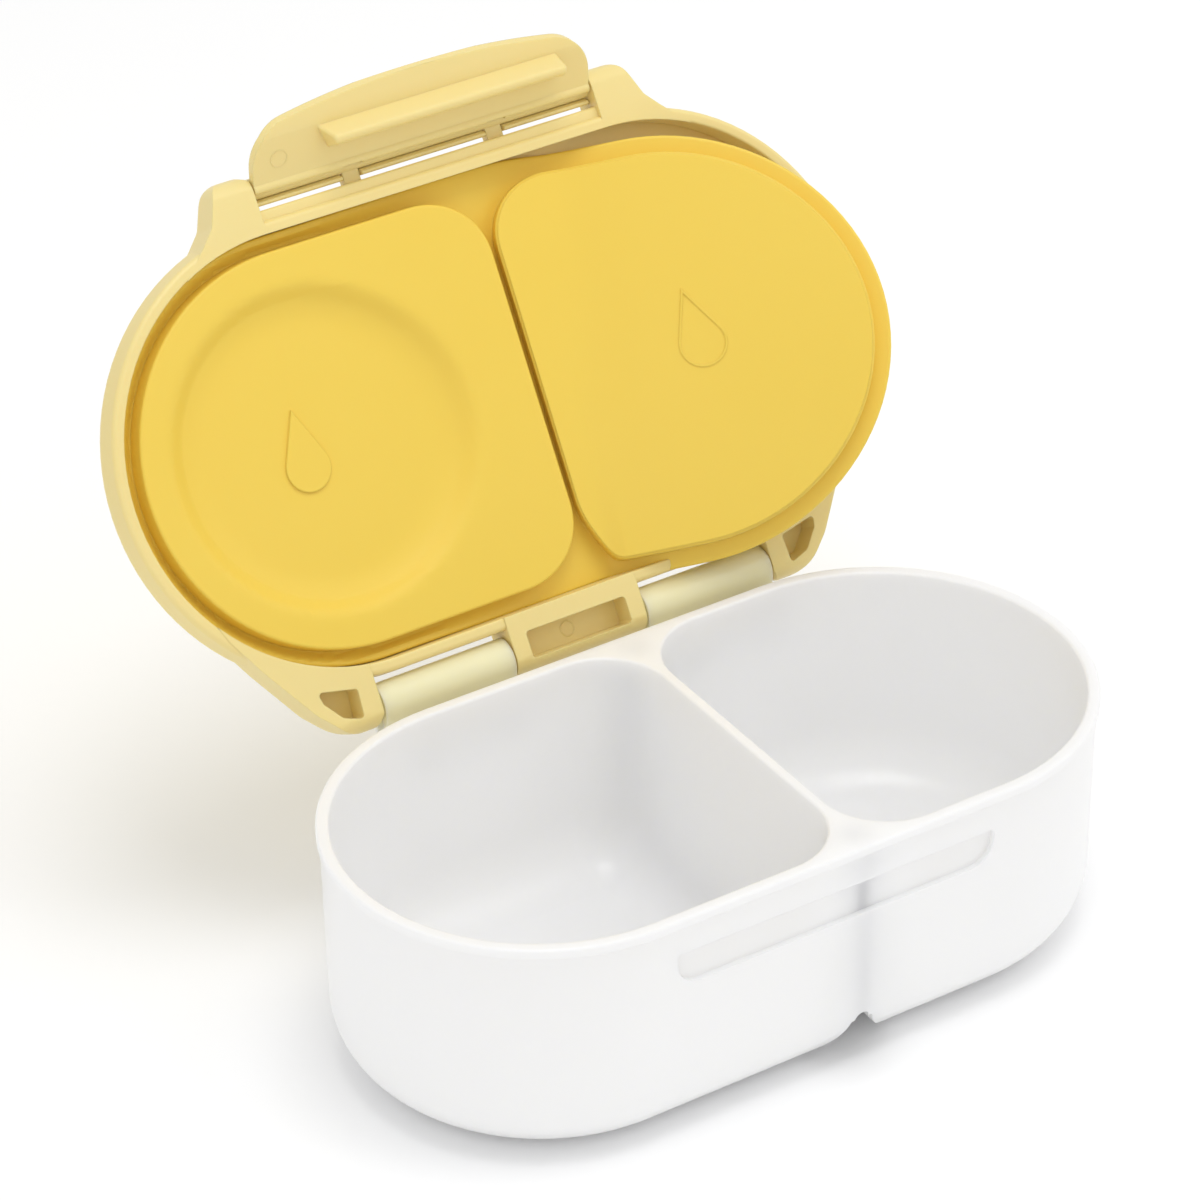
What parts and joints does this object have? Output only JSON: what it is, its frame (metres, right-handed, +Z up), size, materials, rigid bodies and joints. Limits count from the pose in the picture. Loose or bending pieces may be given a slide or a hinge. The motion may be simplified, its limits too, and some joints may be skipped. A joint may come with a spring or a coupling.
{
  "type": "toddler snack container",
  "caption": "Stadium-shaped two-compartment snack tub with a hinged lid, soft sealing insert and a swinging snap latch, shown open.",
  "frame": {"origin": "on the tub's resting face, under the middle of the larger compartment and half way across the width", "axes": "+X along the hinge from the larger to the smaller compartment, +Y from the latch side to the hinge side, +Z up"},
  "size_m": [0.1708, 0.1515, 0.154],
  "materials": {
    "tub": "satin",
    "shell": "satin",
    "latch": "satin",
    "seal": "matte"
  },
  "bodies": {
    "tub": {"tub": "tub"},
    "lid": {"lid": "shell", "seal": "seal"},
    "latch": {"latch": "latch"}
  },
  "joints": [
    {"name": "lid_hinge", "type": "hinge", "parent": "tub", "child": "lid", "pos_m": [0.038, 0.0509, 0.0502], "axis": [1, 0, 0], "range_deg": [0, 122]},
    {"name": "latch_hinge", "type": "hinge", "parent": "lid", "child": "latch", "pos_m": [0.038, 0.10526, 0.13663], "axis": [1, 0, 0], "range_deg": [-47, 72]}
  ]
}
